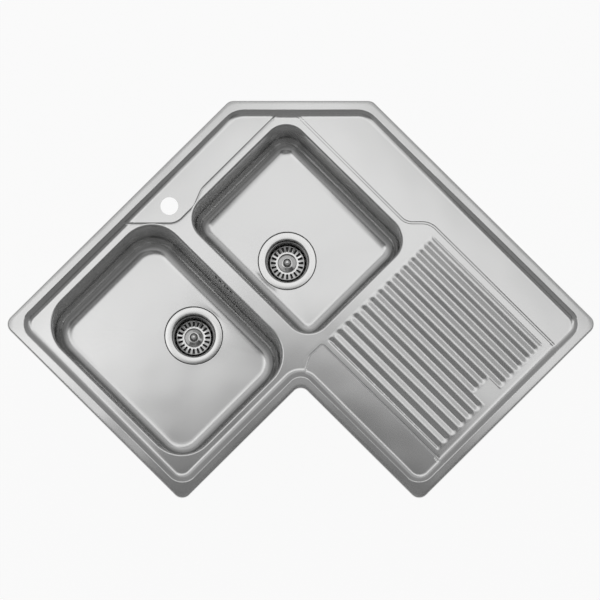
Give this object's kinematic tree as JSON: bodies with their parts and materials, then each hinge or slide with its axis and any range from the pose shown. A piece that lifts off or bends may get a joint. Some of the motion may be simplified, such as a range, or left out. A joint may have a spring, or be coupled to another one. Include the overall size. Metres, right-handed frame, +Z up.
{
  "type": "corner kitchen sink",
  "caption": "Inset corner kitchen sink in pressed stainless steel with main and second bowl, ribbed drainer, tap ledge, lift-out basket strainers, overflow and connected waste.",
  "frame": {"origin": "middle of the square that the outline fits in, on the worktop plane under the rim", "axes": "+Z up out of the worktop; +X and +Y run along the two walls, away from the left wall and towards the back wall, and the cut-off back corner is at -X +Y"},
  "size_m": [0.83, 0.83, 0.3561],
  "materials": {
    "pressed_steel": "satin stainless steel",
    "strainer_steel": "polished stainless steel",
    "seal_rubber": "soft black rubber",
    "damping_pad": "dark grey bitumen pad",
    "fibre": "red-brown pressed fibre",
    "nut_plastic": "moulded white plastic",
    "pipe_plastic": "moulded white plastic",
    "hose_plastic": "flexible grey-white plastic",
    "zinc_steel": "zinc-plated steel"
  },
  "bodies": {
    "sink": {"sink_top": "pressed_steel", "main_bowl": "pressed_steel", "back_bowl": "pressed_steel", "rim_seal": "seal_rubber", "main_bowl_pad": "damping_pad", "back_bowl_pad": "damping_pad", "clip_brackets": "zinc_steel", "clip_screws": "zinc_steel", "waste_tee": "pipe_plastic", "back_elbow": "pipe_plastic", "link_pipe": "pipe_plastic", "link_nuts": "nut_plastic", "link_washers": "seal_rubber", "overflow_box": "pipe_plastic", "overflow_gasket": "seal_rubber", "overflow_screw": "strainer_steel", "overflow_hose": "hose_plastic", "hose_clips": "zinc_steel", "main_strainer": "strainer_steel", "main_flange_gasket": "seal_rubber", "main_bowl_washer": "seal_rubber", "main_fibre_washer": "fibre", "main_lock_nut": "nut_plastic", "main_tail_washer": "seal_rubber", "main_coupling_nut": "nut_plastic", "back_strainer": "strainer_steel", "back_flange_gasket": "seal_rubber", "back_bowl_washer": "seal_rubber", "back_fibre_washer": "fibre", "back_lock_nut": "nut_plastic", "back_tail_washer": "seal_rubber", "back_coupling_nut": "nut_plastic"},
    "main_basket_body": {"main_basket": "strainer_steel"},
    "main_knob_body": {"main_knob": "strainer_steel", "main_plug": "seal_rubber", "main_plug_screw": "strainer_steel"},
    "back_basket_body": {"back_basket": "strainer_steel"},
    "back_knob_body": {"back_knob": "strainer_steel", "back_plug": "seal_rubber", "back_plug_screw": "strainer_steel"},
    "clip_left_front_body": {"clip_left_front": "zinc_steel"},
    "clip_left_back_body": {"clip_left_back": "zinc_steel"},
    "clip_back_left_body": {"clip_back_left": "zinc_steel"},
    "clip_back_right_body": {"clip_back_right": "zinc_steel"},
    "clip_right_end_body": {"clip_right_end": "zinc_steel"},
    "clip_wing_front_body": {"clip_wing_front": "zinc_steel"},
    "clip_inner_side_body": {"clip_inner_side": "zinc_steel"},
    "clip_left_end_body": {"clip_left_end": "zinc_steel"}
  },
  "joints": [
    {"name": "main_basket_lift", "type": "slide", "parent": "sink", "child": "main_basket_body", "axis": [0, 0, 1], "range_m": [0, 0.26]},
    {"name": "main_plug_pull", "type": "slide", "parent": "main_basket_body", "child": "main_knob_body", "axis": [0, 0, 1], "range_m": [0, 0.006]},
    {"name": "back_basket_lift", "type": "slide", "parent": "sink", "child": "back_basket_body", "axis": [0, 0, 1], "range_m": [0, 0.26]},
    {"name": "back_plug_pull", "type": "slide", "parent": "back_basket_body", "child": "back_knob_body", "axis": [0, 0, 1], "range_m": [0, 0.006]},
    {"name": "clip_left_front_swing", "type": "hinge", "parent": "sink", "child": "clip_left_front_body", "pos_m": [-0.38, -0.2485, -0.045], "axis": [0, 0, 1], "range_deg": [0, 90]},
    {"name": "clip_left_back_swing", "type": "hinge", "parent": "sink", "child": "clip_left_back_body", "pos_m": [-0.38, 0.1094, -0.045], "axis": [0, 0, 1], "range_deg": [0, 90]},
    {"name": "clip_back_left_swing", "type": "hinge", "parent": "sink", "child": "clip_back_left_body", "pos_m": [-0.084, 0.38, -0.045], "axis": [0, 0, 1], "range_deg": [0, 90]},
    {"name": "clip_back_right_swing", "type": "hinge", "parent": "sink", "child": "clip_back_right_body", "pos_m": [0.264, 0.38, -0.045], "axis": [0, 0, 1], "range_deg": [0, 90]},
    {"name": "clip_right_end_swing", "type": "hinge", "parent": "sink", "child": "clip_right_end_body", "pos_m": [0.38, 0.165, -0.045], "axis": [0, 0, 1], "range_deg": [0, 90]},
    {"name": "clip_wing_front_swing", "type": "hinge", "parent": "sink", "child": "clip_wing_front_body", "pos_m": [0.214, -0.05, -0.045], "axis": [0, 0, 1], "range_deg": [0, 90]},
    {"name": "clip_inner_side_swing", "type": "hinge", "parent": "sink", "child": "clip_inner_side_body", "pos_m": [0.05, -0.2485, -0.045], "axis": [0, 0, 1], "range_deg": [0, 90]},
    {"name": "clip_left_end_swing", "type": "hinge", "parent": "sink", "child": "clip_left_end_body", "pos_m": [-0.165, -0.38, -0.045], "axis": [0, 0, 1], "range_deg": [0, 90]}
  ]
}
